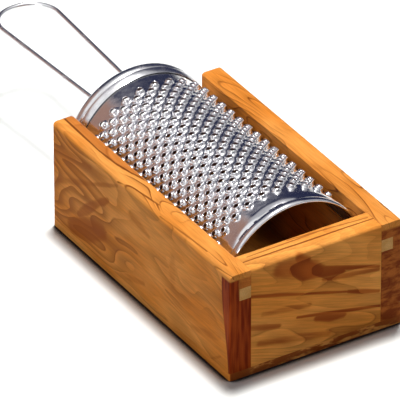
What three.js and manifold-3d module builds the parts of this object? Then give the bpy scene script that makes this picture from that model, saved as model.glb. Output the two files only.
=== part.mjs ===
// A half-round cheese grater that slides into the top of an olive-wood catch box.
// Millimetres, +Z up. X runs across the box, Y along it with the handle at +Y, and the
// origin is the centre of the box's underside.

import * as THREE from 'three';
import { mergeVertices } from 'three/addons/utils/BufferGeometryUtils.js';
import Module from 'manifold-3d';

const wasm = await Module();
wasm.setup();

// Wooden box
const boxWidth = 90;
const boxLength = 150;
const boxHeight = 55;
const boardThickness = 4;
const sideThickness = 11;
const panelThickness = 13.5;
const cornerRadius = 1;
const sideTopRadius = 2.4;
const panelTopRadius = 1.5;
const mouthBevelWidth = 1.2;
const mouthBevelDepth = 0.8;
const backWallDrop = 21;

// Grooves that the grater runs in, and the plugs that close their front ends
const grooveDepth = 6;
const grooveHeight = 6.2;
const grooveDrop = 8;
const frontGap = 4.2;

// Dowels that hold the two end panels between the side walls
const dowelRadius = 3;
const dowelInWall = 6;
const dowelInPanel = 14;
const dowelGap = 0.3;
const dowelHeightShares = [0.2, 0.46];

// Arched, punched sheet; its radius follows from the grooves that its edges run in
const archCentreDrop = 23.7;
const hemSideGap = 2.9;
const sheetThickness = 0.7;
const sheetBackInset = 1.9;
const nubPitchAcross = 7.6;
const nubPitchAlong = 7.33;
const nubBaseReach = 3.1;
const nubLipReach = 1.3;
const nubHoleReach = 1.0;
const nubHeight = 1.9;
const plainBandSide = 2.2;
const plainBandFront = 11;
const plainBandBack = 12.5;

// Pressed rims at the two ends of the sheet
const rimGap = 0.3;
const rimFlangeThickness = 0.7;
const rimValleyWidth = 0.6;
const rimValleyDepth = 0.4;
const rimBeadProud = 0.4;
const frontFlangeWidth = 4.4;
const frontBeadWidth = 4;
const frontBeadHeight = 1.8;
const backFlangeWidth = 3.6;
const backBeadWidth = 5.8;
const backBeadHeight = 3.1;

// Wire that stiffens the sheet's long edges and goes on to make the handle
const wireRadius = 1.1;
const hemGap = 0.3;
const runningGap = 0.3;
const footBendRadius = 4;
const handleNeckWidth = 20;
const handleEndWidth = 31.5;
const handleLength = 103.5;
const handleNeckRise = 1.6;
const handleEndRise = 1.4;
const neckBendRadius = 5;
const endBendRadius = 14;

// Fineness of round forms
const cornerSteps = 5;
const ringSteps = 60;
const beadSteps = 8;
const hemSteps = 9;
const wireSides = 8;
const bendSteps = 6;
const dowelSides = 12;
const overrun = 1;

const halfWidth = boxWidth / 2;
const halfLength = boxLength / 2;
const innerHalf = halfWidth - sideThickness;
const panelInnerY = halfLength - panelThickness;
const grooveTop = boxHeight - grooveDrop;
const grooveFloor = grooveTop - grooveHeight;
const backWallTop = boxHeight - backWallDrop;

const hemInner = wireRadius + hemGap;
const hemOuter = hemInner + sheetThickness;
const wireZ = grooveFloor + runningGap + hemOuter;
const wireX = innerHalf + grooveDepth - hemSideGap - hemOuter;
const archCentreZ = boxHeight - archCentreDrop;
const archFootX = wireX - (hemInner + hemOuter) / 2;
const archRadius = Math.hypot(archFootX, wireZ - archCentreZ) + sheetThickness / 2;
const archInner = archRadius - sheetThickness;

const graterFrontY = -panelInnerY + frontGap;
const sheetFrontY = graterFrontY + frontBeadWidth + rimGap;
const sheetBackY = halfLength - sheetBackInset;
const graterBackY = sheetBackY + rimGap + backBeadWidth;
const crossWireY = graterBackY + runningGap + wireRadius;

const oliveWood = new THREE.MeshStandardMaterial({ color: 0xb5732f, roughness: 0.5, metalness: 0 });
const oliveTop = new THREE.MeshStandardMaterial({ color: 0xc07a38, roughness: 0.5, metalness: 0 });
const paleWood = new THREE.MeshStandardMaterial({ color: 0xc79a5b, roughness: 0.6, metalness: 0 });
const beechWood = new THREE.MeshStandardMaterial({ color: 0xd9b98a, roughness: 0.7, metalness: 0 });
const polishedSteel = new THREE.MeshStandardMaterial({ color: 0xc9cbd0, roughness: 0.2, metalness: 1 });
const steelWire = new THREE.MeshStandardMaterial({ color: 0xb9bbc2, roughness: 0.25, metalness: 1 });

// A closed geometry as a solid that can be cut and joined.
function solid(geometry) {
  const bare = new THREE.BufferGeometry();
  bare.setAttribute('position', geometry.getAttribute('position').clone());
  if (geometry.index) bare.setIndex(geometry.index.clone());
  const merged = mergeVertices(bare, 1e-5);
  return new wasm.Manifold(new wasm.Mesh({
    numProp: 3,
    vertProperties: new Float32Array(merged.getAttribute('position').array),
    triVerts: new Uint32Array(merged.index.array),
  }));
}

function geometryOf(body) {
  const mesh = body.getMesh();
  const geometry = new THREE.BufferGeometry();
  geometry.setAttribute('position', new THREE.BufferAttribute(new Float32Array(mesh.vertProperties), 3));
  geometry.setIndex(new THREE.BufferAttribute(new Uint32Array(mesh.triVerts), 1));
  geometry.computeVertexNormals();
  return geometry;
}

// The same shape on the other side of the plane X = 0, with its faces still pointing out.
function mirrored(geometry) {
  const copy = geometry.index ? geometry.toNonIndexed() : geometry.clone();
  copy.scale(-1, 1, 1);
  const position = copy.getAttribute('position');
  for (let i = 0; i < position.count; i += 3) {
    const second = new THREE.Vector3().fromBufferAttribute(position, i + 1);
    const third = new THREE.Vector3().fromBufferAttribute(position, i + 2);
    position.setXYZ(i + 1, third.x, third.y, third.z);
    position.setXYZ(i + 2, second.x, second.y, second.z);
  }
  copy.computeVertexNormals();
  return copy;
}

function block(fromX, toX, fromY, toY, fromZ, toZ) {
  const geometry = new THREE.BoxGeometry(toX - fromX, toY - fromY, toZ - fromZ);
  return geometry.translate((fromX + toX) / 2, (fromY + toY) / 2, (fromZ + toZ) / 2);
}

// A profile drawn in X and Z, drawn out along Y.
function alongY(shape, fromY, toY) {
  const geometry = new THREE.ExtrudeGeometry(shape, {
    depth: toY - fromY, bevelEnabled: false, curveSegments: cornerSteps,
  });
  return geometry.rotateX(Math.PI / 2).translate(0, toY, 0);
}

// A profile drawn in Y and Z, drawn out along X.
function alongX(shape, fromX, toX) {
  const geometry = new THREE.ExtrudeGeometry(shape, {
    depth: toX - fromX, bevelEnabled: false, curveSegments: cornerSteps,
  });
  return geometry.rotateY(Math.PI / 2).rotateX(Math.PI / 2).translate(fromX, 0, 0);
}

// The box's plan with its four upright corners rounded; every wooden piece is trimmed to it.
function planPrism() {
  const shape = new THREE.Shape();
  const x = halfWidth;
  const y = halfLength;
  const r = cornerRadius;
  shape.moveTo(-x + r, -y);
  shape.lineTo(x - r, -y);
  shape.absarc(x - r, -y + r, r, -Math.PI / 2, 0, false);
  shape.lineTo(x, y - r);
  shape.absarc(x - r, y - r, r, 0, Math.PI / 2, false);
  shape.lineTo(-x + r, y);
  shape.absarc(-x + r, y - r, r, Math.PI / 2, Math.PI, false);
  shape.lineTo(-x, -y + r);
  shape.absarc(-x + r, -y + r, r, Math.PI, 1.5 * Math.PI, false);
  return new THREE.ExtrudeGeometry(shape, {
    depth: boxHeight, bevelEnabled: false, curveSegments: cornerSteps,
  });
}

// The bevel round the mouth, as the wedge of air that lies over the opening: it starts at the
// inner faces, widens upwards, and runs out through the back.
function mouthBevel() {
  const slope = mouthBevelWidth / mouthBevelDepth;
  const fromZ = boxHeight - mouthBevelDepth;
  const toZ = boxHeight + overrun;
  const geometry = block(-innerHalf, innerHalf, -panelInnerY, halfLength + overrun, fromZ, toZ);
  const position = geometry.getAttribute('position');
  const spread = (toZ - fromZ) * slope;
  for (let i = 0; i < position.count; i += 1) {
    if (position.getZ(i) > boxHeight) {
      position.setX(i, position.getX(i) + Math.sign(position.getX(i)) * spread);
      if (position.getY(i) < 0) position.setY(i, position.getY(i) - spread);
    }
  }
  return geometry;
}

// Dowels lie along X and cross from a side wall into an end panel.
function dowel(side, y, z, gap) {
  const length = dowelInWall + dowelInPanel + 2 * gap;
  const middle = innerHalf + (dowelInWall - dowelInPanel) / 2;
  const geometry = new THREE.CylinderGeometry(dowelRadius + gap, dowelRadius + gap, length, dowelSides);
  return geometry.rotateZ(Math.PI / 2).translate(side * middle, y, z);
}

// Every dowel by the name of its place: which panel, which side, and how high.
function dowelPlaces() {
  const places = [];
  for (const [end, outward] of [['front', -1], ['back', 1]]) {
    for (const [hand, side] of [['left', -1], ['right', 1]]) {
      ['low', 'high'].forEach((level, k) => places.push({
        name: `dowel_${end}_${hand}_${level}`,
        side,
        y: outward * (halfLength - panelThickness / 2),
        z: dowelHeightShares[k] * boxHeight,
      }));
    }
  }
  return places;
}

function drilled(body) {
  return dowelPlaces()
    .reduce((rest, { side, y, z }) => rest.subtract(solid(dowel(side, y, z, dowelGap))), body);
}

function bottomBoard() {
  const slab = solid(block(-halfWidth, halfWidth, -halfLength, halfLength, 0, boardThickness));
  return geometryOf(slab.intersect(solid(planPrism())));
}

// The right side wall: a plank with a rounded outer top edge and the runner groove inside.
function sideWall() {
  const shape = new THREE.Shape();
  shape.moveTo(innerHalf, boardThickness);
  shape.lineTo(halfWidth, boardThickness);
  shape.lineTo(halfWidth, boxHeight - sideTopRadius);
  shape.absarc(halfWidth - sideTopRadius, boxHeight - sideTopRadius, sideTopRadius, 0, Math.PI / 2, false);
  shape.lineTo(innerHalf, boxHeight);
  shape.lineTo(innerHalf, grooveTop);
  shape.lineTo(innerHalf + grooveDepth, grooveTop);
  shape.lineTo(innerHalf + grooveDepth, grooveFloor);
  shape.lineTo(innerHalf, grooveFloor);
  const plank = solid(alongY(shape, -halfLength, halfLength));
  const trimmed = plank.intersect(solid(planPrism())).subtract(solid(mouthBevel()));
  return geometryOf(drilled(trimmed));
}

// An end panel between the side walls, with its outer top edge rounded; outward is -1 or 1.
function endPanel(outward, top) {
  const inner = outward * panelInnerY;
  const outer = outward * halfLength;
  const r = panelTopRadius;
  const shape = new THREE.Shape();
  shape.moveTo(inner, boardThickness);
  shape.lineTo(inner, top);
  shape.lineTo(outer - outward * r, top);
  shape.absarc(outer - outward * r, top - r, r, Math.PI / 2, outward > 0 ? 0 : Math.PI, outward > 0);
  shape.lineTo(outer, boardThickness);
  const panel = solid(alongX(shape, -innerHalf, innerHalf));
  return geometryOf(drilled(panel.subtract(solid(mouthBevel()))));
}

// The square peg that closes the right groove at the front and stops the grater.
function groovePlug() {
  const end = graterFrontY - runningGap;
  return block(innerHalf, innerHalf + grooveDepth, -halfLength, end, grooveFloor, grooveTop);
}

// A growing list of points and faces on a cylinder whose axis lies along Y.
class ArchSurface {
  constructor() {
    this.points = [];
    this.faces = [];
    this.known = new Map();
  }

  point(angle, y, radius) {
    const key = [angle, y, radius].map((value) => value.toFixed(5)).join();
    if (!this.known.has(key)) {
      this.known.set(key, this.points.length / 3);
      this.points.push(radius * Math.cos(angle), y, archCentreZ + radius * Math.sin(angle));
    }
    return this.known.get(key);
  }

  face(a, b, c) {
    this.faces.push(a, b, c);
  }

  // A band of quads between two rings with as many points, given in the same order.
  band(ring, next) {
    ring.forEach((a, i) => {
      const j = (i + 1) % ring.length;
      this.face(a, ring[j], next[j]);
      this.face(a, next[j], next[i]);
    });
  }

  geometry() {
    const geometry = new THREE.BufferGeometry();
    geometry.setAttribute('position', new THREE.Float32BufferAttribute(this.points, 3));
    geometry.setIndex(this.faces);
    return geometry;
  }
}

// The sheet's arch. Its nub field is a chequerboard of diamond cells: each inner point of even
// count carries a nub, raised outwards round a square hole, and the odd points are the corners
// that neighbouring cells share. Plain strips frame the field.
function archedSheet() {
  const surface = new ArchSurface();
  const halfStep = nubPitchAcross / 2 / archRadius;
  const footAngle = Math.asin((wireZ - archCentreZ - hemGap) / archRadius);
  const fieldAngle = Math.PI / 2 - footAngle - plainBandSide / archRadius;
  const columns = 2 * Math.floor((fieldAngle / halfStep - 1) / 2) + 1;
  const angles = [Math.PI - footAngle];
  for (let m = -columns; m <= columns; m += 1) angles.push(Math.PI / 2 - m * halfStep);
  angles.push(footAngle);

  const fieldFront = sheetFrontY + plainBandFront - nubPitchAlong / 2;
  const fieldBack = sheetBackY - plainBandBack + nubPitchAlong / 2;
  const rows = 2 * Math.round((fieldBack - fieldFront) / nubPitchAlong);
  const stations = [sheetFrontY];
  for (let k = 0; k <= rows; k += 1) stations.push(fieldFront + k * nubPitchAlong / 2);
  stations.push(sheetBackY);

  const lastI = angles.length - 1;
  const lastJ = stations.length - 1;
  const outer = (i, j) => surface.point(angles[i], stations[j], archRadius);
  const inner = (i, j) => surface.point(angles[i], stations[j], archInner);
  const skin = (corners) => {
    surface.face(...corners.map(([i, j]) => outer(i, j)));
    surface.face(...corners.map(([i, j]) => inner(i, j)).reverse());
  };

  const inField = (i, j) => i >= 1 && i <= lastI - 1 && j >= 1 && j <= lastJ - 1;
  const carriesNub = (i, j) => i > 1 && i < lastI - 1 && j > 1 && j < lastJ - 1;
  const ways = [[1, 0], [0, 1], [-1, 0], [0, -1]];

  const nub = (i, j) => {
    const ring = (reach, radius) => ways.map(([di, dj]) => surface.point(
      angles[i] - di * reach / archRadius, stations[j] + dj * reach, radius,
    ));
    const cellOuter = ways.map(([di, dj]) => outer(i + di, j + dj));
    const cellInner = ways.map(([di, dj]) => inner(i + di, j + dj));
    const base = ring(nubBaseReach, archRadius);
    const lip = ring(nubLipReach, archRadius + nubHeight);
    const hole = ring(nubHoleReach, archInner);
    surface.band(cellOuter, base);
    surface.band(base, lip);
    surface.band(lip, hole);
    surface.band(hole, cellInner);
  };

  for (let i = 1; i < lastI; i += 1) {
    for (let j = 1; j < lastJ; j += 1) {
      if ((i + j) % 2 === 0 && carriesNub(i, j)) nub(i, j);
      else if ((i + j) % 2 === 0) {
        ways.forEach(([di, dj], k) => {
          const [ei, ej] = ways[(k + 1) % ways.length];
          if (inField(i + di, j + dj) && inField(i + ei, j + ej)) {
            skin([[i, j], [i + di, j + dj], [i + ei, j + ej]]);
          }
        });
      }
    }
  }

  for (let i = 0; i < lastI; i += 1) {
    for (let j = 0; j < lastJ; j += 1) {
      if (i === 0 || i === lastI - 1 || j === 0 || j === lastJ - 1) {
        skin([[i, j], [i + 1, j], [i + 1, j + 1]]);
        skin([[i, j], [i + 1, j + 1], [i, j + 1]]);
      }
    }
  }

  // The cut edges of the sheet, all the way round.
  const edge = [];
  for (let i = 0; i < lastI; i += 1) edge.push([i, 0]);
  for (let j = 0; j < lastJ; j += 1) edge.push([lastI, j]);
  for (let i = lastI; i > 0; i -= 1) edge.push([i, lastJ]);
  for (let j = lastJ; j > 0; j -= 1) edge.push([0, j]);
  surface.band(edge.map(([i, j]) => inner(i, j)), edge.map(([i, j]) => outer(i, j)));
  return surface.geometry();
}

// The right long edge of the sheet, rolled three quarters of the way round the edge wire.
function hem() {
  const shape = new THREE.Shape();
  shape.absarc(wireX, wireZ, hemOuter, Math.PI, 2.5 * Math.PI, false);
  shape.absarc(wireX, wireZ, hemInner, 2.5 * Math.PI, Math.PI, true);
  const geometry = new THREE.ExtrudeGeometry(shape, {
    depth: sheetBackY - sheetFrontY, bevelEnabled: false, curveSegments: hemSteps,
  });
  return geometry.rotateX(Math.PI / 2).translate(0, sheetBackY, 0);
}

function graterSheet() {
  const rightHem = hem();
  return geometryOf(solid(archedSheet()).add(solid(rightHem)).add(solid(mirrored(rightHem))));
}

// A pressed rim: a flange over the sheet's end, a valley, and a flattened bead past the end.
// It is turned about the arch's axis and cut off level above the hems. outward is -1 or 1.
function rim(endY, outward, flangeWidth, beadWidth, beadHeight) {
  const flangeInner = archRadius + rimGap;
  const flangeOuter = flangeInner + rimFlangeThickness;
  const beadR = flangeOuter + rimBeadProud - beadHeight / 2;
  const beadY = endY - outward * beadWidth / 2;
  const valleyRadius = flangeOuter - rimValleyDepth;
  const flangeFrom = endY - outward * (beadWidth + flangeWidth);
  const neckY = endY - outward * beadWidth;
  const profile = [
    new THREE.Vector2(flangeInner, flangeFrom),
    new THREE.Vector2(flangeOuter, flangeFrom),
    new THREE.Vector2(flangeOuter, neckY - outward * rimValleyWidth),
    new THREE.Vector2(valleyRadius, neckY),
  ];
  const start = Math.asin((valleyRadius - beadR) / (beadHeight / 2));
  const end = Math.asin((flangeInner - beadR) / (beadHeight / 2));
  for (let k = 0; k <= beadSteps; k += 1) {
    const turn = Math.PI - start + (k / beadSteps) * (start - end - 2 * Math.PI);
    profile.push(new THREE.Vector2(
      beadR + (beadHeight / 2) * Math.sin(turn),
      beadY + outward * (beadWidth / 2) * Math.cos(turn),
    ));
  }
  profile.push(profile[0].clone());
  if (outward < 0) profile.reverse();
  const ring = new THREE.LatheGeometry(profile, ringSteps).translate(0, 0, archCentreZ);
  const footZ = wireZ + hemOuter + rimGap;
  const reach = flangeOuter + rimBeadProud;
  const below = block(
    -reach - overrun, reach + overrun,
    -boxLength, boxLength,
    archCentreZ - reach - overrun, footZ,
  );
  return geometryOf(solid(ring).subtract(solid(below)));
}

// A path with stations only where the wire bends, so straight runs stay single pieces.
class StationPath extends THREE.Curve {
  constructor(stations) {
    super();
    this.stations = stations;
  }

  getPointAt(share) {
    return this.stations[Math.round(share * (this.stations.length - 1))].clone();
  }

  getTangentAt(share) {
    const i = Math.round(share * (this.stations.length - 1));
    const before = this.stations[Math.max(i - 1, 0)];
    const after = this.stations[Math.min(i + 1, this.stations.length - 1)];
    const here = this.stations[i];
    const arriving = here.clone().sub(before).normalize();
    const leaving = after.clone().sub(here).normalize();
    return arriving.add(leaving).normalize();
  }
}

// Corner points with bend radii, as stations: each corner becomes an arc of short steps.
function bentStations(corners) {
  const stations = [corners[0].at];
  corners.slice(1, -1).forEach(({ at, radius }, k) => {
    const toBefore = corners[k].at.clone().sub(at).normalize();
    const toAfter = corners[k + 2].at.clone().sub(at).normalize();
    const half = toBefore.angleTo(toAfter) / 2;
    const bisector = toBefore.clone().add(toAfter).normalize();
    const centre = at.clone().addScaledVector(bisector, radius / Math.sin(half));
    const start = at.clone().addScaledVector(toBefore, radius / Math.tan(half)).sub(centre);
    const finish = at.clone().addScaledVector(toAfter, radius / Math.tan(half)).sub(centre);
    const sweep = start.angleTo(finish);
    for (let i = 0; i <= bendSteps; i += 1) {
      const share = i / bendSteps;
      const a = Math.sin((1 - share) * sweep) / Math.sin(sweep);
      const b = Math.sin(share * sweep) / Math.sin(sweep);
      stations.push(centre.clone().addScaledVector(start, a).addScaledVector(finish, b));
    }
  });
  stations.push(corners[corners.length - 1].at);
  return stations;
}

// One wire: up the right hem, in across the back, out round the handle's loop, and back again.
function frameWire() {
  const right = [
    { at: new THREE.Vector3(wireX, graterFrontY, wireZ) },
    { at: new THREE.Vector3(wireX, crossWireY, wireZ), radius: footBendRadius },
    { at: new THREE.Vector3(handleNeckWidth / 2, crossWireY, wireZ + handleNeckRise), radius: neckBendRadius },
    {
      at: new THREE.Vector3(handleEndWidth / 2, crossWireY + handleLength, wireZ + handleEndRise),
      radius: endBendRadius,
    },
  ];
  const left = right.map(({ at, radius }) => ({ at: new THREE.Vector3(-at.x, at.y, at.z), radius })).reverse();
  const stations = bentStations([...right, ...left]);
  const section = new THREE.Shape();
  for (let k = 0; k < wireSides; k += 1) {
    const angle = (k / wireSides) * 2 * Math.PI;
    const x = wireRadius * Math.cos(angle);
    const y = wireRadius * Math.sin(angle);
    if (k === 0) section.moveTo(x, y);
    else section.lineTo(x, y);
  }
  return new THREE.ExtrudeGeometry(section, {
    steps: stations.length - 1, bevelEnabled: false, extrudePath: new StationPath(stations),
  });
}

function piece(name, geometry, material) {
  const mesh = new THREE.Mesh(geometry, material);
  mesh.name = name;
  return mesh;
}

const catchBox = new THREE.Group();
const rightWall = sideWall();
const rightPlug = groovePlug();
catchBox.add(
  piece('bottom_board', bottomBoard(), oliveWood),
  piece('side_wall_right', rightWall, oliveWood),
  piece('side_wall_left', mirrored(rightWall), oliveWood),
  piece('front_panel', endPanel(-1, boxHeight), oliveTop),
  piece('back_panel', endPanel(1, backWallTop), oliveTop),
  piece('groove_plug_right', rightPlug, paleWood),
  piece('groove_plug_left', mirrored(rightPlug), paleWood),
  ...dowelPlaces().map(({ name, side, y, z }) => piece(name, dowel(side, y, z, 0), beechWood)),
);

const slidingGrater = new THREE.Group();
slidingGrater.add(
  piece('grater_sheet', graterSheet(), polishedSteel),
  piece('front_rim', rim(graterFrontY, -1, frontFlangeWidth, frontBeadWidth, frontBeadHeight), polishedSteel),
  piece('back_rim', rim(graterBackY, 1, backFlangeWidth, backBeadWidth, backBeadHeight), polishedSteel),
  piece('frame_wire', frameWire(), steelWire),
);

const cheeseGrater = new THREE.Group();
cheeseGrater.add(catchBox, slidingGrater);

export default cheeseGrater;
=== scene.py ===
"""A half-round cheese grater in its olive-wood catch box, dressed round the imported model."""
import math
import random

import bmesh
import bpy
from mathutils import Matrix, Vector


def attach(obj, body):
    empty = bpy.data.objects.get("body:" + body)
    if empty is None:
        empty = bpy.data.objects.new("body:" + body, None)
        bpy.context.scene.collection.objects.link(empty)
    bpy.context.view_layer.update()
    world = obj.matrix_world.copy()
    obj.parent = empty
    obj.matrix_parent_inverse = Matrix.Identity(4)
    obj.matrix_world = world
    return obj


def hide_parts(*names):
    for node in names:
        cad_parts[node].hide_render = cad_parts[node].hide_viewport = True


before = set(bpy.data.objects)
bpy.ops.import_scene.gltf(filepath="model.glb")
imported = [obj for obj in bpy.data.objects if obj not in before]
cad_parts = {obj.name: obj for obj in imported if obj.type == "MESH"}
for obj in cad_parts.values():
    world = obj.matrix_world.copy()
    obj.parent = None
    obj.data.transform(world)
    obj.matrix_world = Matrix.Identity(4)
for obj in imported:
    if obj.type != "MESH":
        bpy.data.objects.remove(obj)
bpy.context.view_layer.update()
scene = bpy.context.scene
scene.view_settings.view_transform = "Standard"

# Camera: a long lens from the front left and above, at the photograph's angle.
# The frame's middle lies a little beside and below the box's centre.
azimuth, elevation, roll = (math.radians(a) for a in (-31.87, 32.73, -0.05))
camera = bpy.data.objects.new("camera", bpy.data.cameras.new("camera"))
camera.data.lens = 720
camera.data.sensor_width = 36
turn = (Matrix.Rotation(azimuth, 3, "Z") @ Matrix.Rotation(math.pi / 2 - elevation, 3, "X")
        @ Matrix.Rotation(roll, 3, "Z"))
camera.rotation_euler = turn.to_euler()
camera.location = turn @ Vector((-0.01162, 0.03276, 3.5888))
camera.data.clip_end = 50
scene.collection.objects.link(camera)
scene.camera = camera

# Studio: a plain pale floor under one small soft lamp almost overhead, so that the shadow is short
# and falls to the front left. Close to the box's foot the floor's colour is darkened as a painted
# contact shadow. A wide white panel hangs over the left for the polished steel to mirror. The room
# is navy at the back right and brownish, like wood, low at the back left.


def node(tree, kind, inputs=None, **settings):
    """A shader node with its settings, each named or numbered input set or linked."""
    made = tree.nodes.new(kind)
    for name, value in settings.items():
        setattr(made, name, value)
    for name, value in (inputs or {}).items():
        if isinstance(value, bpy.types.NodeSocket):
            tree.links.new(value, made.inputs[name])
        else:
            made.inputs[name].default_value = value
    return made


def maths(tree, operation, *values, clamp=False):
    return node(tree, "ShaderNodeMath", dict(enumerate(values)), operation=operation,
                use_clamp=clamp).outputs[0]


def vector_maths(tree, operation, *values):
    made = node(tree, "ShaderNodeVectorMath", dict(enumerate(values)), operation=operation)
    return made.outputs["Value" if operation in ("LENGTH", "DOT_PRODUCT", "DISTANCE") else "Vector"]


def blended(tree, share, first, second, way="MIX"):
    """Two colours mixed by a share."""
    made = node(tree, "ShaderNodeMix", {0: share, 6: first, 7: second},
                data_type="RGBA", blend_type=way)
    return made.outputs[2]


def ramped(tree, value, low, high, to_low=0.0, to_high=1.0):
    """A value taken smoothly from one range to another."""
    made = node(tree, "ShaderNodeMapRange", {0: value, 1: low, 2: high, 3: to_low, 4: to_high},
                interpolation_type="SMOOTHSTEP")
    return made.outputs[0]


def new_material(name):
    """A material with its node tree and its Principled shader."""
    made = bpy.data.materials.new(name)
    made.use_nodes = True
    return made, made.node_tree, made.node_tree.nodes["Principled BSDF"]


floor_mesh = bmesh.new()
bmesh.ops.create_grid(floor_mesh, x_segments=1, y_segments=1, size=15)
floor = bpy.data.objects.new("floor", bpy.data.meshes.new("floor"))
floor_mesh.to_mesh(floor.data)
scene.collection.objects.link(floor)
pale_floor, tree, shader = new_material("pale_floor")
light_path = node(tree, "ShaderNodeLightPath")
seen = maths(tree, "ADD", light_path.outputs["Is Camera Ray"], light_path.outputs["Is Glossy Ray"])
seen = maths(tree, "ADD", seen, light_path.outputs["Is Transmission Ray"], clamp=True)
tint = blended(tree, seen, (0.46, 0.47, 0.48, 1), (0.97, 1.0, 1.0, 1))
# Close to the box's foot the floor's colour goes nearly black by ambient occlusion: a painted contact shadow.
open_sky = node(tree, "ShaderNodeAmbientOcclusion", {"Distance": 0.007}, samples=16).outputs["AO"]
tint = blended(tree, ramped(tree, open_sky, 0.57, 0.78), (0.03, 0.03, 0.035, 1), tint)
tree.links.new(tint, shader.inputs["Base Color"])
shader.inputs["Roughness"].default_value = 1
shader.inputs["Specular IOR Level"].default_value = 0
floor.data.materials.append(pale_floor)

for name, place, width, height, power, warmth in (
        ("key", (0.165, 0.2, 1.6), 0.26, 0.26, 34.5, (1, 0.98, 0.95)),
        ("fill", (-1.7, -0.9, 0.5), 0.8, 0.8, 10, (1, 0.98, 0.95))):
    lamp = bpy.data.objects.new(name, bpy.data.lights.new(name, "AREA"))
    lamp.data.shape = "RECTANGLE"
    lamp.data.size, lamp.data.size_y = width, height
    lamp.data.energy = power
    lamp.data.color = warmth
    lamp.location = place
    lamp.rotation_euler = (Vector((0, 0, 0.04)) - Vector(place)).to_track_quat("-Z", "Y").to_euler()
    scene.collection.objects.link(lamp)

panel_mesh = bmesh.new()
bmesh.ops.create_grid(panel_mesh, x_segments=1, y_segments=1, size=1,
                      matrix=Matrix.Translation((-0.05, -0.55, 1.2)) @ Matrix.Diagonal((0.9, 0.7, 1, 1)))
white_panel = bpy.data.objects.new("white_panel", bpy.data.meshes.new("white_panel"))
panel_mesh.to_mesh(white_panel.data)
scene.collection.objects.link(white_panel)
glow, tree, shader = new_material("panel_glow")
shader.inputs["Base Color"].default_value = (0, 0, 0, 1)
shader.inputs["Emission Color"].default_value = (1, 1, 1, 1)
shader.inputs["Emission Strength"].default_value = 0.8
white_panel.data.materials.append(glow)
white_panel.visible_camera = white_panel.visible_diffuse = white_panel.visible_shadow = False

room = bpy.data.worlds.new("room")
scene.world = room
room.use_nodes = True
tree = room.node_tree
looking = node(tree, "ShaderNodeTexCoord").outputs["Generated"]
to_wood = vector_maths(tree, "DOT_PRODUCT", looking, Vector((-0.62, 0.70, 0.35)).normalized())
room_light = blended(tree, ramped(tree, to_wood, 0.86, 0.95), (0.5, 0.5, 0.53, 1), (0.42, 0.25, 0.2, 1))
to_card = vector_maths(tree, "DOT_PRODUCT", looking, Vector((-0.6, 0.12, 0.79)).normalized())
room_light = blended(tree, ramped(tree, to_card, 0.88, 0.94), room_light, (1.1, 1.1, 1.1, 1))
low_share = maths(tree, "MULTIPLY", ramped(tree, vector_maths(tree, "DOT_PRODUCT", looking, (0, 0, 1)), 0.36, 0.2),
                  ramped(tree, vector_maths(tree, "DOT_PRODUCT", looking, (0, 1, 0)), 0.3, 0.1))
room_light = blended(tree, low_share, room_light, (0.12, 0.12, 0.14, 1))
dark_share = 1.0
for towards, light, dark in (((1, 0.2, 0), -0.14, -0.05), ((0, 0, 1), 0.76, 0.7), ((0, 1, 0), 0.1, 0.35)):
    share = ramped(tree, vector_maths(tree, "DOT_PRODUCT", looking, towards), light, dark)
    dark_share = maths(tree, "MULTIPLY", dark_share, share)
room_light = blended(tree, dark_share, room_light, (0.025, 0.03, 0.075, 1))
soft = node(tree, "ShaderNodeLightPath").outputs["Is Diffuse Ray"]
room_light = blended(tree, soft, room_light, (0.04, 0.04, 0.045, 1))
tree.links.new(room_light, tree.nodes["Background"].inputs["Color"])

# Bottom board: a thin olive-wood board glued under the walls, planed flush, its arrises eased
# with sandpaper. It has little figure along the sides and dark end grain at the front.


def eased(node_name, name, radius=0.00022):
    """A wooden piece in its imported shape, with its sharp arrises rounded a little."""
    bm = bmesh.new()
    bm.from_mesh(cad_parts[node_name].data)
    bmesh.ops.remove_doubles(bm, verts=bm.verts, dist=1e-6)
    bmesh.ops.dissolve_limit(bm, angle_limit=math.radians(0.5), verts=bm.verts, edges=bm.edges)
    sharp = [e for e in bm.edges if e.is_manifold and e.calc_face_angle() > math.radians(27)]
    bmesh.ops.bevel(bm, geom=sharp, offset=radius, offset_type="OFFSET", segments=2, profile=0.5,
                    affect="EDGES", clamp_overlap=True, material=-1)
    for face in bm.faces:
        face.smooth = True
    mesh = bpy.data.meshes.new(name)
    bm.to_mesh(mesh)
    piece = bpy.data.objects.new(name, mesh)
    scene.collection.objects.link(piece)
    evened = piece.modifiers.new("evened", "WEIGHTED_NORMAL")
    evened.keep_sharp = False
    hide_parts(node_name)
    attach(piece, "catch_box")
    return piece


def shader_group(name, inputs, outputs):
    """An empty shader group with named inputs and outputs."""
    tree = bpy.data.node_groups.new(name, "ShaderNodeTree")
    for label, kind, value in inputs:
        socket = tree.interface.new_socket(label, in_out="INPUT", socket_type="NodeSocket" + kind)
        if value is not None:
            socket.default_value = value
    for label, kind in outputs:
        tree.interface.new_socket(label, in_out="OUTPUT", socket_type="NodeSocket" + kind)
    return tree, tree.nodes.new("NodeGroupInput").outputs, tree.nodes.new("NodeGroupOutput").inputs


def placed(tree, group, inputs):
    made = node(tree, "ShaderNodeGroup", node_tree=group)
    for name, value in inputs.items():
        if isinstance(value, bpy.types.NodeSocket):
            tree.links.new(value, made.inputs[name])
        else:
            made.inputs[name].default_value = value
    return made.outputs


def noise(tree, vector, scale, detail=2.0, roughness=0.5):
    return node(tree, "ShaderNodeTexNoise",
                {"Vector": vector, "Scale": scale, "Detail": detail, "Roughness": roughness}).outputs


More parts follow.
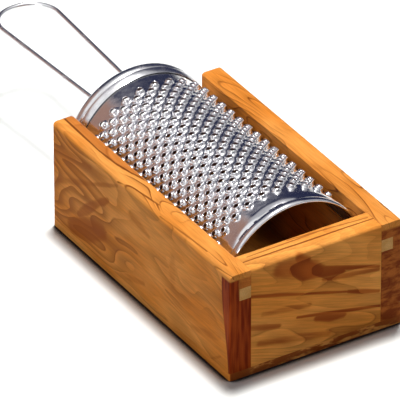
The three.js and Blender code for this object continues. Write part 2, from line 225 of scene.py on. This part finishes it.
# Olive wood in millimetres, with the grain along X: pale and honey patches, dark lines that flow
# round swirls, and fine fibres.
olive, given, made = shader_group(
    "olive_wood",
    [("Vector", "Vector", None), ("Seed", "Float", 0.0), ("Honey", "Color", (0.59, 0.195, 0.027, 1)),
     ("Pale", "Color", (0.72, 0.295, 0.066, 1)), ("Vein", "Color", (0.15, 0.03, 0.006, 1)),
     ("Swirl", "Float", 16.0), ("Lines", "Float", 13.0), ("Strength", "Float", 0.8)],
    [("Color", "Color"), ("Roughness", "Float"), ("Height", "Float"), ("Bent", "Vector"),
     ("Feather", "Float"), ("Zone", "Float")])
moved = vector_maths(olive, "ADD", given["Vector"],
                     vector_maths(olive, "MULTIPLY", given["Seed"], (37.0, 61.0, 23.0)))
drawn_out = vector_maths(olive, "MULTIPLY", moved, (0.45, 1.0, 1.0))
push = vector_maths(olive, "SUBTRACT", noise(olive, drawn_out, 0.035, 2.0)["Color"], (0.5, 0.5, 0.5))
push = vector_maths(olive, "MULTIPLY", push, given["Swirl"])
bent = vector_maths(olive, "ADD", moved, push)
field = noise(olive, vector_maths(olive, "MULTIPLY", bent, (0.22, 1.0, 1.0)), 0.05, 1.0)["Fac"]
ring = maths(olive, "FRACT", maths(olive, "MULTIPLY", field, given["Lines"]))
edge = maths(olive, "ABSOLUTE", maths(olive, "SUBTRACT", ring, 0.5))
bare_line = ramped(olive, edge, 0.4, 0.49)
zone = maths(olive, "POWER", ramped(olive, ring, 0.0, 0.96), 1.3)
gate = ramped(olive, noise(olive, drawn_out, 0.045, 1.0)["Fac"], 0.42, 0.62)
line = maths(olive, "MULTIPLY", bare_line, maths(olive, "MULTIPLY", gate, given["Strength"]))
patch = ramped(olive, noise(olive, vector_maths(olive, "MULTIPLY", bent, (0.4, 1.0, 1.0)), 0.04, 2.0)["Fac"],
               0.35, 0.66)
fibre = noise(olive, vector_maths(olive, "MULTIPLY", moved, (0.06, 1.0, 1.0)), 1.3, 3.0, 0.6)["Fac"]
early = maths(olive, "SUBTRACT", 1.08, maths(olive, "MULTIPLY", maths(olive, "MULTIPLY", ring, gate), 0.3))
feather = noise(olive, vector_maths(olive, "MULTIPLY", bent, (0.12, 1.0, 1.0)), 0.5, 3.0, 0.6)["Fac"]
tone = maths(olive, "MULTIPLY", early, ramped(olive, fibre, 0.3, 0.7, 0.86, 1.1))
colour = blended(olive, patch, given["Honey"], given["Pale"])
colour = blended(olive, line, colour, given["Vein"])
colour = vector_maths(olive, "MULTIPLY", colour, tone)
for name, value in {
        "Color": colour, "Roughness": ramped(olive, fibre, 0.3, 0.7, 0.36, 0.5),
        "Height": maths(olive, "SUBTRACT", fibre, maths(olive, "MULTIPLY", line, 0.3)),
        "Bent": push, "Feather": feather, "Zone": zone}.items():
    olive.links.new(value, made[name])

# A single dark streak between two points, soft at its sides and thin at its ends; several together
# are frayed along the grain.
streak, given, made = shader_group(
    "dark_streak",
    [("Vector", "Vector", None), ("From", "Vector", (0.0, 0.0, 0.0)), ("To", "Vector", (1.0, 0.0, 0.0)),
     ("Width", "Float", 1.0), ("Softness", "Float", 1.0)],
    [("Mask", "Float")])
run = vector_maths(streak, "SUBTRACT", given["To"], given["From"])
reach = vector_maths(streak, "SUBTRACT", given["Vector"], given["From"])
share = maths(streak, "DIVIDE", vector_maths(streak, "DOT_PRODUCT", reach, run),
              vector_maths(streak, "DOT_PRODUCT", run, run), clamp=True)
nearest = vector_maths(streak, "MULTIPLY", run, share)
away = vector_maths(streak, "LENGTH", vector_maths(streak, "SUBTRACT", reach, nearest))
middle = maths(streak, "ABSOLUTE", maths(streak, "SUBTRACT", maths(streak, "MULTIPLY", share, 2.0), 1.0))
body_width = maths(streak, "MULTIPLY", given["Width"],
                   maths(streak, "SUBTRACT", 1.0, maths(streak, "MULTIPLY", middle, 0.6)))
outside = maths(streak, "DIVIDE", maths(streak, "SUBTRACT", away, body_width), given["Softness"])
streak.links.new(ramped(streak, outside, 0.0, 1.0, 1.0, 0.0), made["Mask"])


def streaks(tree, place, feather, rows):
    """The darkest of several streaks; each row is from, to, width, softness and depth of colour."""
    darkest = 0.0
    for start, end, width, softness, depth in rows:
        mask = placed(tree, streak, {"Vector": place, "From": start, "To": end, "Width": width,
                                     "Softness": softness})["Mask"]
        darkest = maths(tree, "MAXIMUM", darkest, maths(tree, "MULTIPLY", mask, depth))
    return maths(tree, "MULTIPLY", darkest, ramped(tree, maths(tree, "ADD", darkest, feather), 0.55, 1.15))


def olive_material(name, turn, seed, **look):
    """An olive-wood material; turn brings the plank's grain to X. Returns what a section adds to."""
    material, tree, shader = new_material(name)
    coordinates = node(tree, "ShaderNodeTexCoord").outputs["Object"]
    place = vector_maths(tree, "MULTIPLY", coordinates, (1000.0, 1000.0, 1000.0))
    along = node(tree, "ShaderNodeMapping", {"Vector": place, "Rotation": turn}).outputs[0]
    wood = placed(tree, olive, {"Vector": along, "Seed": seed, **look})
    tree.links.new(wood["Roughness"], shader.inputs["Roughness"])
    bump = node(tree, "ShaderNodeBump", {"Height": wood["Height"], "Strength": 0.25,
                                         "Distance": 0.0001})
    tree.links.new(bump.outputs[0], shader.inputs["Normal"])
    tree.links.new(wood["Color"], shader.inputs["Base Color"])
    shader.inputs["Specular IOR Level"].default_value = 0.02
    return material, tree, shader, place, wood


def axis(tree, place, name):
    return node(tree, "ShaderNodeSeparateXYZ", {0: place}).outputs[name]


def painted_inside_shade(tree, place, colour):
    """The colour inside the box, under the grater, darkened with painted shade that deepens towards the back."""
    x, y, z = (axis(tree, place, name) for name in "XYZ")
    inside_shade_share = maths(tree, "MULTIPLY", ramped(tree, maths(tree, "ABSOLUTE", x), 34.2, 34.0),
                   ramped(tree, maths(tree, "ABSOLUTE", y), 61.7, 61.5))
    inside_shade_share = maths(tree, "MULTIPLY", inside_shade_share, ramped(tree, z, 47.5, 46.0))
    inside_shade_share = maths(tree, "MULTIPLY", inside_shade_share, ramped(tree, y, -15.0, 20.0, 0.0, 0.6))
    return vector_maths(tree, "MULTIPLY", colour, maths(tree, "SUBTRACT", 1.0, inside_shade_share))


grain_along_y = (0.0, 0.0, -math.pi / 2)
board = eased("bottom_board", "board")
board_wood, tree, shader, place, wood = olive_material("board_wood", grain_along_y, 3.0, Strength=0.4)
front_end = ramped(tree, axis(tree, place, "Y"), -74.6, -74.9)
curl = noise(tree, vector_maths(tree, "MULTIPLY", place, (0.35, 1.0, 1.0)), 0.35, 4.0, 0.6)["Fac"]
light_share = maths(tree, "MULTIPLY", ramped(tree, curl, 0.46, 0.62),
                    ramped(tree, axis(tree, place, "X"), -36, -31))
end_colour = blended(tree, light_share, (0.22, 0.04, 0.008, 1), (0.8, 0.33, 0.08, 1))
colour = blended(tree, maths(tree, "MULTIPLY", front_end, 0.85), wood["Color"], end_colour)
# Painted shade darkens the board inside the box, under the grater.
tree.links.new(painted_inside_shade(tree, place, colour), shader.inputs["Base Color"])
board.data.materials.clear()
board.data.materials.append(board_wood)

# Left side wall: an olive-wood plank with wild figure, a rounded outer edge and a groove inside.
# Its front end has a strip of dark heartwood that goes round the corner.
left_wall = eased("side_wall_left", "left_wall")
left_wood, tree, shader, place, wood = olive_material("left_wood", grain_along_y, 11.0)
x, y, z = (axis(tree, place, name) for name in "XYZ")
lively = maths(tree, "MAXIMUM", ramped(tree, y, 5.0, 25.0, 0.1, 0.6), ramped(tree, z, 52.0, 54.5, 0.0, 0.9))
tree.links.new(lively, wood["Color"].node.inputs["Strength"])
flat_place = vector_maths(tree, "ADD", vector_maths(tree, "MULTIPLY", place, (0.25, 1.0, 1.0)),
                          vector_maths(tree, "MULTIPLY", wood["Bent"], (0.0, 0.3, 0.3)))
left_figure = streaks(tree, flat_place, wood["Feather"], [
    ((-11, 76, 41), (-11, 43, 49), 1.5, 4.0, 0.45),
    ((-11, 74, 25), (-11, 41, 41), 0.6, 2.5, 0.5),
    ((-11, 41, 41), (-11, 19, 51), 0.5, 1.5, 0.6),
    ((-11, 53, 19), (-11, 37, 33), 1.8, 2.5, 0.75),
    ((-11, 37, 33), (-11, 27, 40), 1.2, 2.0, 0.75),
    ((-11, 58, 9), (-11, 33, 20), 4.5, 5.0, 0.85),
    ((-11, 40, 15), (-11, 29, 22), 0.3, 0.8, 0.8),
    ((-11, 22, 3), (-11, -3, 11), 1.2, 2.0, 0.5),
    ((-11, 8, 43), (-11, -7, 39), 1.2, 3.0, 0.5),
    ((-11, -27, 40), (-11, -28, 24), 1.5, 3.5, 0.4),
    ((-11, -43, 11), (-11, -67, 18), 1.0, 2.5, 0.45),
    ((-11, -60, 4), (-11, -67, 9), 0.4, 1.0, 0.5)])
region = maths(tree, "MULTIPLY", ramped(tree, y, 0.0, 45.0, 0.14, 0.7),
               ramped(tree, z, 55.0, 51.0, 0.3, 1.0))
colour = blended(tree, maths(tree, "MULTIPLY", region, wood["Zone"]), wood["Color"], (0.27, 0.07, 0.011, 1))
colour = blended(tree, maths(tree, "MULTIPLY", left_figure, 0.9), colour, (0.3, 0.07, 0.01, 1))
# Painted shade: a darker band on the top, between the dark grain line and the inner edge, from near the front to
# the back.
boundary = ramped(tree, y, 9.0, 27.0, -33.4, -39.4)
painted_top_edge_shade = maths(tree, "MULTIPLY", ramped(tree, maths(tree, "SUBTRACT", x, boundary), 0.0, 0.6),
                   maths(tree, "MULTIPLY", ramped(tree, y, 6.0, 13.0), ramped(tree, z, 53.5, 54.7, 0.0, 0.6)))
colour = blended(tree, painted_top_edge_shade, colour, (0.38, 0.1, 0.016, 1))
wavering = vector_maths(tree, "ADD", place, vector_maths(tree, "MULTIPLY", wood["Bent"], (0.08, 0.0, 0.0)))
edge_lines = streaks(tree, wavering, 1.0, [
    ((-38.7, 84, 55), (-39.8, 42, 55), 0.4, 0.4, 0.9),
    ((-39.8, 46, 55), (-39.0, 28, 55), 0.4, 0.4, 0.9),
    ((-39.1, 31, 55), (-37.3, 19, 55), 0.4, 0.4, 0.9),
    ((-37.6, 21, 55), (-33.8, 7, 55), 0.4, 0.4, 0.9),
    ((-45, 19, 53.4), (-42.6, 6, 55), 0.35, 0.4, 0.8),
    ((-43, 8, 55), (-40.6, -9, 55), 0.35, 0.4, 0.8),
    ((-40.8, -7, 55), (-44.2, -18, 54), 0.35, 0.4, 0.8),
    ((-44.2, -16, 54), (-42.3, -52, 55), 0.35, 0.4, 0.7)])
colour = blended(tree, edge_lines, colour, (0.13, 0.03, 0.006, 1))
boundary = ramped(tree, z, 0.0, 48.0, -73.8, -68.2)
heart = ramped(tree, maths(tree, "SUBTRACT", boundary, y), -0.3, 0.5)
heart = maths(tree, "MULTIPLY", heart, ramped(tree, z, 52.6, 51.6))
end_light = maths(tree, "MULTIPLY", ramped(tree, z, 40.0, 46.0), ramped(tree, y, -74.5, -74.9))
end_light = maths(tree, "MULTIPLY", end_light, ramped(tree, x, -40.9, -39.9))
heart = maths(tree, "MULTIPLY", heart, maths(tree, "SUBTRACT", 1.0, maths(tree, "MULTIPLY", end_light, 0.5)))
heartwood = blended(tree, ramped(tree, noise(tree, vector_maths(tree, "MULTIPLY", place, (1.0, 1.0, 0.08)),
                                             0.6, 2.0)["Fac"], 0.35, 0.65),
                    (0.17, 0.018, 0.003, 1), (0.36, 0.06, 0.009, 1))
colour = blended(tree, heart, colour, heartwood)
# Painted shade darkens the wall inside the box, under the grater.
tree.links.new(painted_inside_shade(tree, place, colour), shader.inputs["Base Color"])
left_wall.data.materials.clear()
left_wall.data.materials.append(left_wood)

# Right side wall: its fellow, with paler streaks along the top and dark, curly end grain.
right_wall = eased("side_wall_right", "right_wall")
right_wood, tree, shader, place, wood = olive_material("right_wood", grain_along_y, 5.0)
y, z = (axis(tree, place, name) for name in "YZ")
end = maths(tree, "MULTIPLY", ramped(tree, y, -74.4, -74.9), ramped(tree, z, 52.5, 51.0))
curl = noise(tree, vector_maths(tree, "MULTIPLY", place, (0.4, 1.0, 1.0)), 0.3, 4.0, 0.6)["Fac"]
end_colour = blended(tree, ramped(tree, curl, 0.4, 0.62), (0.17, 0.024, 0.005, 1), (0.44, 0.12, 0.024, 1))
colour = blended(tree, maths(tree, "MULTIPLY", end, 0.9), wood["Color"], end_colour)
# Painted shade darkens the wall inside the box, under the grater.
tree.links.new(painted_inside_shade(tree, place, colour), shader.inputs["Base Color"])
right_wall.data.materials.clear()
right_wall.data.materials.append(right_wood)

# Front panel: a thick piece between the side walls, its grain falling to the right, with a dark
# cloud of heartwood in its upper middle and streaks that run out of it.
front_piece = eased("front_panel", "front_piece")
front_wood, tree, shader, place, wood = olive_material("front_wood", (0.0, math.radians(-17), 0.0), 23.0,
                                                       Swirl=9.0, Strength=0.3, Honey=(0.7, 0.255, 0.042, 1),
                                                       Pale=(0.8, 0.34, 0.075, 1))
flat_place = vector_maths(tree, "ADD", vector_maths(tree, "MULTIPLY", place, (1.0, 0.25, 1.0)),
                          vector_maths(tree, "MULTIPLY", wood["Bent"], (0.3, 0.0, 0.3)))
front_figure = streaks(tree, flat_place, wood["Feather"], [
    ((-19, -19, 50), (-2, -19, 46), 2.5, 6.0, 0.7),
    ((-12, -19, 48), (2, -19, 42), 3.5, 4.0, 0.9),
    ((-9, -19, 52), (-4, -19, 46), 2.5, 3.5, 0.85),
    ((-4, -19, 42.5), (14, -19, 38.5), 1.4, 2.5, 0.8),
    ((0, -19, 44.5), (33, -19, 34), 0.5, 1.6, 0.8),
    ((4, -19, 37), (33, -19, 32.8), 0.5, 2.0, 0.65),
    ((-35, -19, 41.5), (-7, -19, 33.5), 0.5, 1.2, 0.85),
    ((-7, -19, 33.5), (17, -19, 26.5), 0.4, 1.0, 0.8),
    ((17, -19, 26.5), (33, -19, 21), 0.6, 1.4, 0.8),
    ((-28, -19, 30), (-4, -19, 26.5), 0.8, 2.2, 0.5),
    ((-10, -19, 22), (33, -19, 13), 0.5, 1.2, 0.85),
    ((0, -19, 18), (14, -19, 15), 1.6, 2.4, 0.7),
    ((-34, -19, 25), (-20, -19, 21), 0.8, 2.5, 0.6),
    ((-30, -19, 15), (6, -19, 8), 0.9, 3.0, 0.5)])
colour = blended(tree, front_figure, wood["Color"], (0.38, 0.072, 0.009, 1))
colour = blended(tree, maths(tree, "MULTIPLY", front_figure, wood["Zone"]), colour, (0.21, 0.036, 0.006, 1))
colour = blended(tree, maths(tree, "MULTIPLY", wood["Zone"], 0.18), colour, (0.3, 0.07, 0.011, 1))
wavering = vector_maths(tree, "ADD", place, vector_maths(tree, "MULTIPLY", wood["Bent"], (0.0, 0.2, 0.0)))
edge_lines = streaks(tree, wavering, 1.0, [
    ((-40, -68.2, 55), (40, -68.2, 55), 0.35, 0.4, 0.85),
    ((-30, -65.4, 55), (12, -64.4, 55), 0.25, 0.5, 0.6),
    ((-8, -63.2, 55), (32, -66.2, 55), 0.25, 0.5, 0.6)])
colour = blended(tree, edge_lines, colour, (0.16, 0.035, 0.007, 1))
# Painted shade darkens the panel inside the box, under the grater.
tree.links.new(painted_inside_shade(tree, place, colour), shader.inputs["Base Color"])
front_piece.data.materials.clear()
front_piece.data.materials.append(front_wood)

# Back panel: the low piece at the handle's end, under the grater's path.
back_piece = eased("back_panel", "back_piece")
back_wood, tree, shader, place, wood = olive_material("back_wood", (0.0, math.radians(8), 0.0), 31.0)
back_piece.data.materials.clear()
back_piece.data.materials.append(back_wood)

# Groove plugs: square pegs of a pale wood, glued into the grooves' front ends and cut flush, so
# that their end grain shows.
plug_wood, tree, shader = new_material("plug_wood")
coordinates = node(tree, "ShaderNodeTexCoord").outputs["Object"]
place = vector_maths(tree, "MULTIPLY", coordinates, (1000.0, 60.0, 1000.0))
pores = noise(tree, place, 2.2, 3.0, 0.6)["Fac"]
cloud = noise(tree, place, 0.25, 1.0)["Fac"]
colour = blended(tree, ramped(tree, cloud, 0.3, 0.7), (0.66, 0.33, 0.09, 1), (0.76, 0.42, 0.14, 1))
colour = blended(tree, ramped(tree, pores, 0.62, 0.42, 0.0, 0.35), colour, (0.38, 0.2, 0.07, 1))
tree.links.new(colour, shader.inputs["Base Color"])
tree.links.new(ramped(tree, pores, 0.3, 0.7, 0.6, 0.45), shader.inputs["Roughness"])
shader.inputs["Specular IOR Level"].default_value = 0.06
bump = node(tree, "ShaderNodeBump", {"Height": pores, "Strength": 0.2, "Distance": 0.0001})
tree.links.new(bump.outputs[0], shader.inputs["Normal"])
for side in ("left", "right"):
    peg = eased(f"groove_plug_{side}", f"{side}_peg", 0.00015)
    peg.data.materials.clear()
    peg.data.materials.append(plug_wood)

# Dowels: turned beech pins, hidden in the joints between the end panels and the side walls.
dowel_wood, tree, shader = new_material("dowel_wood")
coordinates = node(tree, "ShaderNodeTexCoord").outputs["Object"]
flecks = noise(tree, vector_maths(tree, "MULTIPLY", coordinates, (80.0, 1500.0, 1500.0)), 1.0, 3.0)["Fac"]
colour = blended(tree, ramped(tree, flecks, 0.35, 0.65), (0.62, 0.4, 0.22, 1), (0.72, 0.5, 0.3, 1))
tree.links.new(colour, shader.inputs["Base Color"])
tree.links.new(ramped(tree, flecks, 0.3, 0.7, 0.6, 0.75), shader.inputs["Roughness"])
for name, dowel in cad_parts.items():
    if name.startswith("dowel_"):
        dowel.data.materials.clear()
        dowel.data.materials.append(dowel_wood)

# Grater sheet: one thin sheet of polished steel, punched from below into some three hundred
# rough-lipped nubs, then bent to an arch, with its long edges rolled round the wire.
arch_radius, arch_height = 0.035665, 0.0313
half_across, half_along = 0.0038, 0.003665
columns, rows = 11, 30
field_front, sheet_front, sheet_back = -0.045665, -0.053, 0.0731
wire_x, wire_height = 0.035, 0.0432
corners = [Vector((half_across, 0, 0)), Vector((0, half_along, 0)),
           Vector((-half_across, 0, 0)), Vector((0, -half_along, 0))]

nub = bmesh.new()
bmesh.ops.create_circle(nub, cap_ends=True, segments=12, radius=1)
nub.verts.ensure_lookup_table()
for k, vert in enumerate(nub.verts):
    vert.co = corners[k // 3].lerp(corners[(k // 3 + 1) % 4], k % 3 / 3)
top = nub.faces[:][0]
for radius, height in ((0.0025, 0.0), (0.0021, 0.00025), (0.00185, 0.0008), (0.0017, 0.0013),
                       (0.00155, 0.0016), (0.0013, 0.00175), (0.0011, 0.00165)):
    bmesh.ops.inset_individual(nub, faces=[top], thickness=0.0001)
    for vert in top.verts:
        around = round(math.atan2(vert.co.y, vert.co.x) / (math.pi / 6)) * math.pi / 6
        vert.co = (radius * math.cos(around), radius * math.sin(around), height)
bmesh.ops.delete(nub, geom=[top], context="FACES_ONLY")
nub_mesh = bpy.data.meshes.new("nub_cell")
nub.to_mesh(nub_mesh)

plain = bmesh.new()
bmesh.ops.create_grid(plain, x_segments=3, y_segments=3, size=1,
                      matrix=Matrix.Diagonal((half_across, half_along, 1, 1))
                      @ Matrix.Scale(math.sqrt(0.5), 4) @ Matrix.Rotation(math.pi / 4, 4, "Z"))
plain_mesh = bpy.data.meshes.new("plain_cell")
plain.to_mesh(plain_mesh)

sheet = bmesh.new()
random.seed(4)
for row in range(rows + 1):
    for column in range(-columns, columns + 1):
        if (row + column) % 2:
            before = len(sheet.verts)
            punched = abs(column) < columns and 0 < row < rows
            sheet.from_mesh(nub_mesh if punched else plain_mesh)
            sheet.verts.ensure_lookup_table()
            fresh = sheet.verts[before:]
            lean = Vector((random.uniform(-1, 1), random.uniform(-1, 1))) * 0.05
            for vert in fresh:
                vert.co.x += lean.x * vert.co.z
                vert.co.y += lean.y * vert.co.z
            bmesh.ops.translate(sheet, verts=fresh,
                                vec=(column * half_across, field_front + row * half_along, 0))
bmesh.ops.remove_doubles(sheet, verts=sheet.verts, dist=2e-6)
field_half, field_back = columns * half_across, field_front + rows * half_along
for point, away in (((field_half, 0, 0), (1, 0, 0)), ((-field_half, 0, 0), (-1, 0, 0)),
                    ((0, field_back, 0), (0, 1, 0)), ((0, field_front, 0), (0, -1, 0))):
    bmesh.ops.bisect_plane(sheet, geom=sheet.verts[:] + sheet.edges[:] + sheet.faces[:], dist=1e-6,
                           plane_co=point, plane_no=away, clear_outer=True)


def grown(bm, along, at, steps):
    """Draws the sheet's edge that lies at one place out in steps."""
    edge = [e for e in bm.edges if e.is_boundary and all(abs(v.co[along] - at) < 1e-5 for v in e.verts)]
    for place in steps:
        made = bmesh.ops.extrude_edge_only(bm, edges=edge)["geom"]
        for vert in made:
            if isinstance(vert, bmesh.types.BMVert):
                vert.co[along] = place
        edge = [e for e in made if isinstance(e, bmesh.types.BMEdge)
                and all(abs(v.co[along] - place) < 1e-7 for v in e.verts)]


foot_angle = math.asin((wire_height - arch_height) / arch_radius)
half_arc = arch_radius * (math.pi / 2 - foot_angle)
for side in (-1, 1):
    grown(sheet, 0, side * field_half, [side * (field_half + half_arc) / 2, side * half_arc])
grown(sheet, 1, field_front, [(field_front + sheet_front) / 2, sheet_front])
grown(sheet, 1, field_back, [field_back + (sheet_back - field_back) * k / 4 for k in (1, 2, 3, 4)])
feet = {side: [e for e in sheet.edges if e.is_boundary
               and all(abs(v.co.x - side * half_arc) < 1e-6 for v in e.verts)] for side in (-1, 1)}
for vert in sheet.verts:
    bend, radius = vert.co.x / arch_radius, arch_radius + vert.co.z
    vert.co.x, vert.co.z = radius * math.sin(bend), arch_height + radius * math.cos(bend)
for side in (-1, 1):
    bmesh.ops.spin(sheet, geom=feet[side], cent=(side * wire_x, 0, wire_height), axis=(0, -side, 0),
                   angle=math.radians(270), steps=14)
bmesh.ops.recalc_face_normals(sheet, faces=sheet.faces)
crown = max(sheet.faces, key=lambda f: f.calc_center_median().z)
if crown.normal.z < 0:
    bmesh.ops.reverse_faces(sheet, faces=sheet.faces)
for face in sheet.faces:
    face.smooth = True
arch = bpy.data.objects.new("punched_arch", bpy.data.meshes.new("punched_arch"))
sheet.to_mesh(arch.data)
scene.collection.objects.link(arch)
wall = arch.modifiers.new("wall", "SOLIDIFY")
wall.thickness, wall.offset = 0.0005, -1
wall.material_offset = wall.material_offset_rim = 1


# Steel in millimetres: fine draw marks, soft smudges and a little unevenness from the pressing.
steel, given, made = shader_group(
    "pressed_steel",
    [("Vector", "Vector", None), ("Polish", "Float", 0.16), ("Smudge", "Float", 0.1)],
    [("Color", "Color"), ("Roughness", "Float"), ("Height", "Float")])
smudges = ramped(steel, noise(steel, given["Vector"], 0.12, 3.0, 0.6)["Fac"], 0.4, 0.7)
draw_marks = noise(steel, vector_maths(steel, "MULTIPLY", given["Vector"], (1.0, 0.05, 1.0)), 6.0, 2.0)["Fac"]
dull = maths(steel, "ADD", given["Polish"], maths(steel, "MULTIPLY", smudges, given["Smudge"]))
dull = maths(steel, "ADD", dull, ramped(steel, draw_marks, 0.4, 0.7, 0.0, 0.05))
steel.links.new(dull, made["Roughness"])
steel.links.new(blended(steel, smudges, (0.74, 0.74, 0.76, 1), (0.66, 0.65, 0.68, 1)), made["Color"])
dents = noise(steel, given["Vector"], 0.5, 1.0)["Fac"]
steel.links.new(maths(steel, "ADD", dents, maths(steel, "MULTIPLY", draw_marks, 0.1)), made["Height"])


def steel_material(name, polish, smudge, unevenness, shade=(1, 1, 1)):
    material, tree, shader = new_material(name)
    coordinates = node(tree, "ShaderNodeTexCoord").outputs["Object"]
    place = vector_maths(tree, "MULTIPLY", coordinates, (1000.0, 1000.0, 1000.0))
    finish = placed(tree, steel, {"Vector": place, "Polish": polish, "Smudge": smudge})
    tree.links.new(vector_maths(tree, "MULTIPLY", finish["Color"], shade), shader.inputs["Base Color"])
    tree.links.new(finish["Roughness"], shader.inputs["Roughness"])
    bump = node(tree, "ShaderNodeBump", {"Height": finish["Height"], "Strength": unevenness,
                                         "Distance": 0.0002})
    tree.links.new(bump.outputs[0], shader.inputs["Normal"])
    shader.inputs["Metallic"].default_value = 1
    return material


arch.data.materials.append(steel_material("sheet_steel", 0.14, 0.08, 0.2))
# The sheet's inner side and the walls of its holes and edges get a darker steel: painted shade.
arch.data.materials.append(steel_material("sheet_inside_painted_shade", 0.4, 0.1, 0.35, (0.3, 0.22, 0.22)))
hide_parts("grater_sheet")
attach(arch, "grater")

# Rims: two steel bands pressed over the ends of the sheet, each a flat flange, a thin valley and
# a rolled bead at the very end, spot-welded to the sheet.
flange_inner, flange_outer, bead_top, rim_foot = 0.035965, 0.036665, 0.037065, 0.0456
for name, end, outward, flange_width, bead_width, bead_height, rise, polish, unevenness in (
        ("front_rim", -0.0573, -1, 0.0044, 0.004, 0.0018, -0.0005, 0.1, 0.06),
        ("back_rim", 0.0792, 1, 0.0036, 0.0058, 0.0031, 0.0009, 0.18, 0.2)):
    rim = bmesh.new()
    middle = Matrix.Translation((0, end - outward * bead_width / 2, arch_height + bead_top - bead_height / 2))
    bmesh.ops.create_circle(rim, segments=24, radius=0.5,
                            matrix=middle @ Matrix.Diagonal((1, bead_width, bead_height, 1))
                            @ Matrix.Rotation(math.pi / 2, 4, "Y"))
    near = end - outward * bead_width
    far = near - outward * flange_width
    outline = [(near + outward * 0.0003, flange_inner), (far, flange_inner)]
    for k in range(7):
        bulge = 0.0002 * (1 - (k / 3 - 1) ** 2) - 0.0005 + max(-rise, 0) + rise * k / 6
        outline.append((far + (near - far) * k / 6, flange_outer + bulge))
    flange = bmesh.ops.create_circle(rim, segments=len(outline), radius=1)["verts"]
    for vert, (y, radius) in zip(flange, outline):
        vert.co = (0, y, arch_height + radius)
    bmesh.ops.spin(rim, geom=rim.edges[:], cent=(0, 0, arch_height), axis=(0, 1, 0),
                   angle=math.radians(-90), steps=40)
    bmesh.ops.mirror(rim, geom=rim.verts[:] + rim.edges[:] + rim.faces[:], axis="X", merge_dist=1e-6)
    bmesh.ops.remove_doubles(rim, verts=rim.verts, dist=1e-6)
    cut = bmesh.ops.bisect_plane(rim, geom=rim.verts[:] + rim.edges[:] + rim.faces[:], dist=1e-7,
                                 plane_co=(0, 0, rim_foot), plane_no=(0, 0, -1), clear_outer=True)
    bmesh.ops.holes_fill(rim, edges=[e for e in rim.edges if e.is_boundary])
    bmesh.ops.recalc_face_normals(rim, faces=rim.faces)
    for face in rim.faces:
        face.smooth = True
    piece = bpy.data.objects.new(name + "_pressed", bpy.data.meshes.new(name + "_pressed"))
    rim.to_mesh(piece.data)
    piece.data.set_sharp_from_angle(angle=math.radians(50))
    scene.collection.objects.link(piece)
    piece.data.materials.append(steel_material(name + "_steel", polish, 0.08, unevenness))
    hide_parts(name)
    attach(piece, "grater")

# Wire: one length of drawn steel wire that runs in both rolled edges, crosses behind the back rim
# and makes the handle's loop, bent round pins.
wire_radius = 0.0011
cross_y, neck_half, end_half = 0.0806, 0.01, 0.01575
bends = [(Vector((wire_x, -0.0573, wire_height)), 0), (Vector((wire_x, cross_y, wire_height)), 0.004),
         (Vector((neck_half, cross_y, wire_height + 0.0016)), 0.005),
         (Vector((end_half, cross_y + 0.1035, wire_height + 0.0014)), 0.014)]
bends += [(Vector((-at.x, at.y, at.z)), radius) for at, radius in reversed(bends)]
wire = bmesh.new()
start = bends[0][0]
bmesh.ops.create_circle(wire, cap_ends=True, segments=14, radius=wire_radius,
                        matrix=Matrix.Translation(start) @ Matrix.Rotation(math.pi / 2, 4, "X"))
ring = wire.edges[:]


def drawn(bm, ring, vec):
    """Draws the wire on straight, and gives its new last ring."""
    made = bmesh.ops.extrude_edge_only(bm, edges=ring)["geom"]
    fresh = [v for v in made if isinstance(v, bmesh.types.BMVert)]
    bmesh.ops.translate(bm, verts=fresh, vec=vec)
    return [e for e in made if isinstance(e, bmesh.types.BMEdge) and all(v in fresh for v in e.verts)]


for (before, _), (at, radius), (after, _) in zip(bends, bends[1:], bends[2:]):
    arriving, leaving = (at - before).normalized(), (after - at).normalized()
    sweep = arriving.angle(leaving)
    setback = radius * math.tan(sweep / 2)
    ring = drawn(wire, ring, at - arriving * setback - start)
    inward = (leaving - arriving).normalized()
    centre = at + inward * radius / math.cos(sweep / 2)
    out = bmesh.ops.spin(wire, geom=ring, cent=centre, axis=arriving.cross(leaving), angle=sweep,
                         steps=max(6, round(sweep / 0.14)))
    ring = [e for e in out["geom_last"] if isinstance(e, bmesh.types.BMEdge)]
    start = at + leaving * setback
ring = drawn(wire, ring, bends[-1][0] - start)
bmesh.ops.holes_fill(wire, edges=ring)
bmesh.ops.recalc_face_normals(wire, faces=wire.faces)
for face in wire.faces:
    face.smooth = len(face.verts) == 4
handle = bpy.data.objects.new("handle_wire", bpy.data.meshes.new("handle_wire"))
wire.to_mesh(handle.data)
scene.collection.objects.link(handle)
handle.data.materials.append(steel_material("wire_steel", 0.2, 0.06, 0.1))
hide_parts("frame_wire")
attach(handle, "grater")
